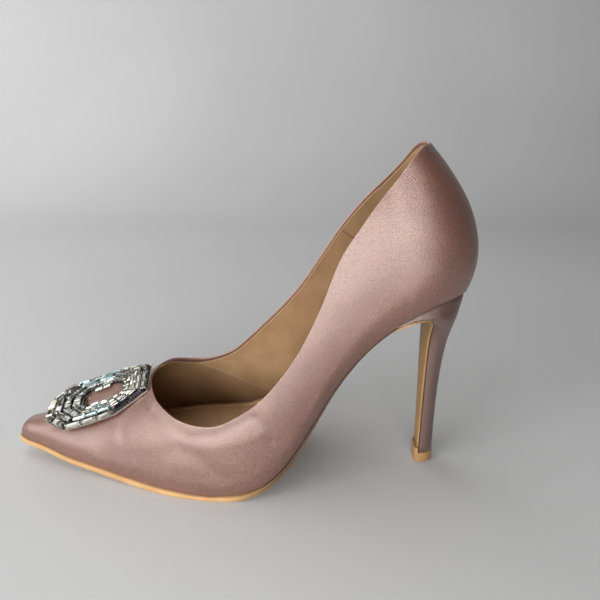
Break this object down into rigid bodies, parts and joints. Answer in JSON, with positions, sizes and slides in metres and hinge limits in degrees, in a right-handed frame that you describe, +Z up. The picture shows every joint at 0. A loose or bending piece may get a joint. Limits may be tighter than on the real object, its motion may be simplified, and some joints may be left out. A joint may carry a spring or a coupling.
{
  "type": "high-heeled pump",
  "caption": "Left satin pump with a pointed toe, low-cut vamp, slim high heel and a jewelled octagonal brooch with an open middle.",
  "frame": {"origin": "middle of the shoe's bounding box, on the ground it stands on", "axes": "+X from the toe to the heel, -X is the toe, +Z up, -Y the lateral (outer) side and +Y the medial (inner) side of a left shoe"},
  "size_m": [0.2256, 0.077, 0.1573],
  "materials": {
    "satin": "dusty pink satin with a soft sheen",
    "lining": "smooth tan-brown lining",
    "sole": "light tan, semi-matt",
    "tip": "brown-tan hard plastic",
    "metal": "bright silver",
    "stone": "clear cut stones"
  },
  "bodies": {
    "root": {"upper": "satin", "insole": "lining", "outsole": "sole", "heel": "satin", "top_piece": "tip", "brooch_plate": "metal", "brooch_setting": "metal", "rim_stone_1": "stone", "rim_stone_2": "stone", "rim_stone_3": "stone", "rim_stone_4": "stone", "rim_stone_5": "stone", "rim_stone_6": "stone", "rim_stone_7": "stone", "rim_stone_8": "stone"}
  },
  "joints": []
}
